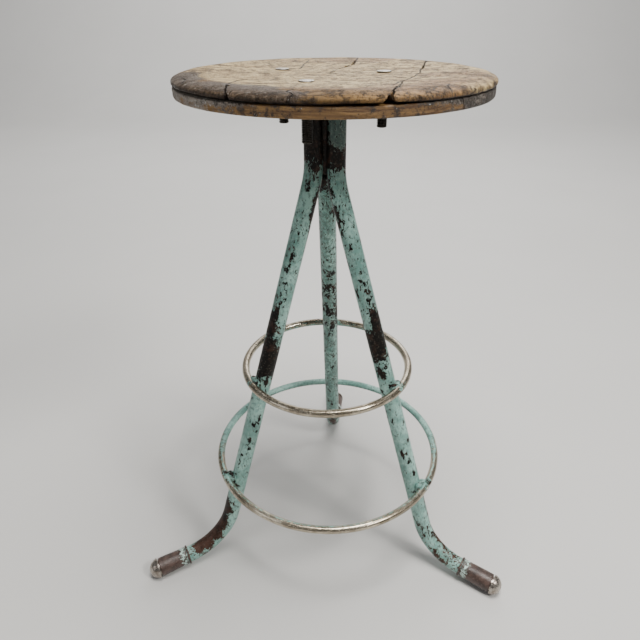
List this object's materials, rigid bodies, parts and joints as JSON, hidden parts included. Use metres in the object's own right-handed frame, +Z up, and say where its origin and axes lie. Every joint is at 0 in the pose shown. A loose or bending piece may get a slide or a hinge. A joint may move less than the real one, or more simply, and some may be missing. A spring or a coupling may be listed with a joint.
{
  "type": "swivel stool",
  "caption": "Tall industrial stool: round wooden seat on a height-adjusting screw, splayed tubular legs bent out at the feet, and ring footrests.",
  "frame": {"origin": "on the floor, on the axis of the seat's screw", "axes": "+Z up along the screw axis, -Y towards the front between the left and right legs, +X to the right"},
  "size_m": [0.5103, 0.4653, 0.6781],
  "materials": {
    "painted_tube": "mint green enamel, chipped to dark steel",
    "painted_steel": "mint green enamel over rough welds, chipped",
    "ring_rod": "bare worn steel with remains of green enamel",
    "foot_sleeve": "dark brown patinated steel with paint specks",
    "glide_steel": "worn silver steel",
    "seat_wood_top": "old weathered wood, cracked and dished",
    "seat_wood_base": "old ochre brown wood with dark stains",
    "flange_steel": "dark oxidised steel",
    "screw_steel": "oiled steel",
    "bolt_steel": "worn zinc-plated steel"
  },
  "bodies": {
    "base": {"leg_left": "painted_tube", "leg_right": "painted_tube", "leg_rear": "painted_tube", "hub_weld_seams": "painted_steel", "hub_end_plate": "painted_steel", "threaded_socket": "painted_steel", "upper_ring_welds": "painted_steel", "lower_ring_pegs": "painted_steel", "lower_ring_welds": "painted_steel", "upper_footrest_ring": "ring_rod", "lower_footrest_ring": "ring_rod", "foot_sleeve_left": "foot_sleeve", "foot_sleeve_right": "foot_sleeve", "foot_sleeve_rear": "foot_sleeve", "foot_collar_left": "foot_sleeve", "foot_collar_right": "foot_sleeve", "foot_collar_rear": "foot_sleeve", "foot_glide_left": "glide_steel", "foot_glide_right": "glide_steel", "foot_glide_rear": "glide_steel"},
    "bearing_washer": {"thrust_washer": "screw_steel"},
    "seat": {"seat_board_upper": "seat_wood_top", "seat_board_lower": "seat_wood_base", "seat_flange": "flange_steel", "flange_boss": "flange_steel", "boss_weld": "flange_steel", "seat_bolts": "bolt_steel", "bolt_washers": "bolt_steel", "bolt_nuts": "bolt_steel", "screw_spindle": "screw_steel", "stop_ring": "screw_steel", "stop_screw": "screw_steel"}
  },
  "joints": [
    {"name": "seat_turn", "type": "hinge", "parent": "base", "child": "bearing_washer", "pos_m": [0, 0, 0.638], "axis": [0, 0, 1], "range_deg": [0, 3510]},
    {"name": "seat_rise", "type": "slide", "parent": "bearing_washer", "child": "seat", "axis": [0, 0, 1], "range_m": [0, 0.039]}
  ],
  "couplings": [
    {"joint": "seat_rise", "follows": "seat_turn", "m_per_rad": 0.0006366}
  ]
}
